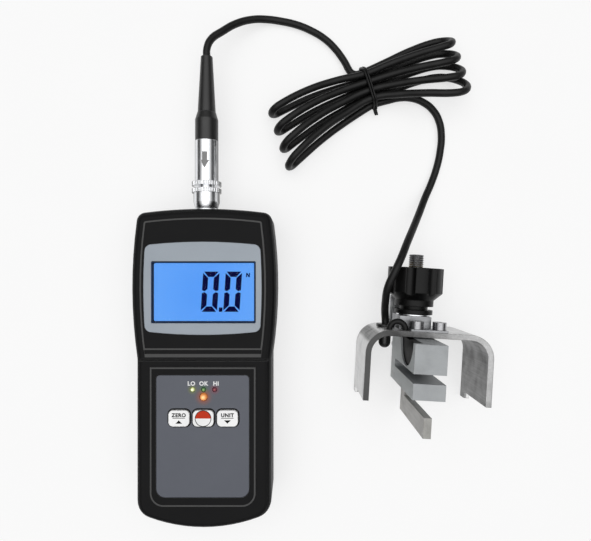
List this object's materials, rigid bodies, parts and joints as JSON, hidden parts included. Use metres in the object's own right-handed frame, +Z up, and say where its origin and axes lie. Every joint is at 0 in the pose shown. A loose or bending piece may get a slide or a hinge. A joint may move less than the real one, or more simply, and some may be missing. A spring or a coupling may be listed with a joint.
{
  "type": "belt tension meter",
  "caption": "Handheld belt tension meter: display handset, push-pull plug, tied cord and a screw-clamp probe whose load cell pulls a hook blade against the belt.",
  "frame": {"origin": "centre of the handset's back face", "axes": "+X across the handset towards the probe, +Y along the handset towards its plug, +Z up from the table"},
  "size_m": [0.1629, 0.246, 0.049],
  "materials": {
    "case": "fine-grained black",
    "door": "fine-grained black",
    "case_screw": "plain",
    "bezel": "satin silver",
    "window": "clear",
    "lcd": "lit blue",
    "backlight": "milky",
    "board": "satin green",
    "label": "satin grey",
    "key": "printed white",
    "switch": "plain black",
    "lamp_low": "clear lens",
    "lamp_ok": "clear lens",
    "lamp_high": "clear lens",
    "lamp_power": "clear lens",
    "cells": "plain wrap",
    "contacts": "plated",
    "socket": "satin plated",
    "plug": "satin plated",
    "insert": "moulded",
    "plug_rubber": "smooth black",
    "cord": "satin black",
    "tie": "coated wire",
    "bracket": "brushed, worn",
    "block": "satin",
    "cap_screw": "black oxide",
    "washer": "bright",
    "knob": "satin black",
    "knob_insert": "turned",
    "stud": "dark oiled",
    "cell_block": "machined",
    "potting": "glossy black",
    "tongue": "brushed",
    "blade": "ground"
  },
  "bodies": {
    "base": {"front_shell": "case", "rear_shell": "case", "case_screws": "case_screw", "display_bezel": "bezel", "display_window": "window", "lcd_panel": "lcd", "backlight": "backlight", "main_board": "board", "keypad_label": "label", "key_switches": "switch", "low_lamp": "lamp_low", "ok_lamp": "lamp_ok", "high_lamp": "lamp_high", "power_lamp": "lamp_power", "battery_cells": "cells", "battery_contacts": "contacts", "socket_body": "socket", "socket_nut": "socket", "plug_body": "plug", "plug_insert": "insert", "plug_collar": "plug_rubber", "plug_boot": "plug_rubber", "cord_lead": "cord", "cord_hank": "cord", "cord_tail": "cord", "cord_tie": "tie", "bracket": "bracket", "guide_block": "block", "foot_screws": "cap_screw", "cord_grommet": "plug_rubber", "sensor_lead": "cord", "thrust_washer": "washer"},
    "knob": {"knob": "knob", "knob_insert": "knob_insert"},
    "hook": {"stud": "stud", "load_cell": "cell_block", "gauge_potting": "potting", "guide_tongue": "tongue", "tongue_screws": "case_screw", "hook_blade": "blade", "blade_pins": "blade"},
    "left_key": {"left_key": "key"},
    "power_key": {"power_key": "key"},
    "right_key": {"right_key": "key"},
    "battery_door": {"battery_door": "door"},
    "plug_sleeve": {"plug_sleeve": "plug"}
  },
  "joints": [
    {"name": "hook_lift", "type": "slide", "parent": "base", "child": "hook", "axis": [0.0576, 0.9983, 0], "range_m": [-0.008, 0]},
    {"name": "knob_turn", "type": "hinge", "parent": "base", "child": "knob", "pos_m": [0.09823, 0.02998, 0.016], "axis": [0.0576, 0.9983, 0], "range_deg": [0, 2880.1]},
    {"name": "left_key_press", "type": "slide", "parent": "base", "child": "left_key", "axis": [0, 0, -1], "range_m": [0, 0.0005], "stiffness_N_per_m": 900},
    {"name": "power_key_press", "type": "slide", "parent": "base", "child": "power_key", "axis": [0, 0, -1], "range_m": [0, 0.0005], "stiffness_N_per_m": 900},
    {"name": "right_key_press", "type": "slide", "parent": "base", "child": "right_key", "axis": [0, 0, -1], "range_m": [0, 0.0005], "stiffness_N_per_m": 900},
    {"name": "battery_door_slide", "type": "slide", "parent": "base", "child": "battery_door", "axis": [0, -1, 0], "range_m": [0, 0.04]},
    {"name": "sleeve_release", "type": "slide", "parent": "base", "child": "plug_sleeve", "axis": [0, 1, 0], "range_m": [0, 0.001], "stiffness_N_per_m": 700}
  ],
  "couplings": [
    {"joint": "knob_turn", "follows": "hook_lift", "rad_per_m": -6283.2}
  ]
}
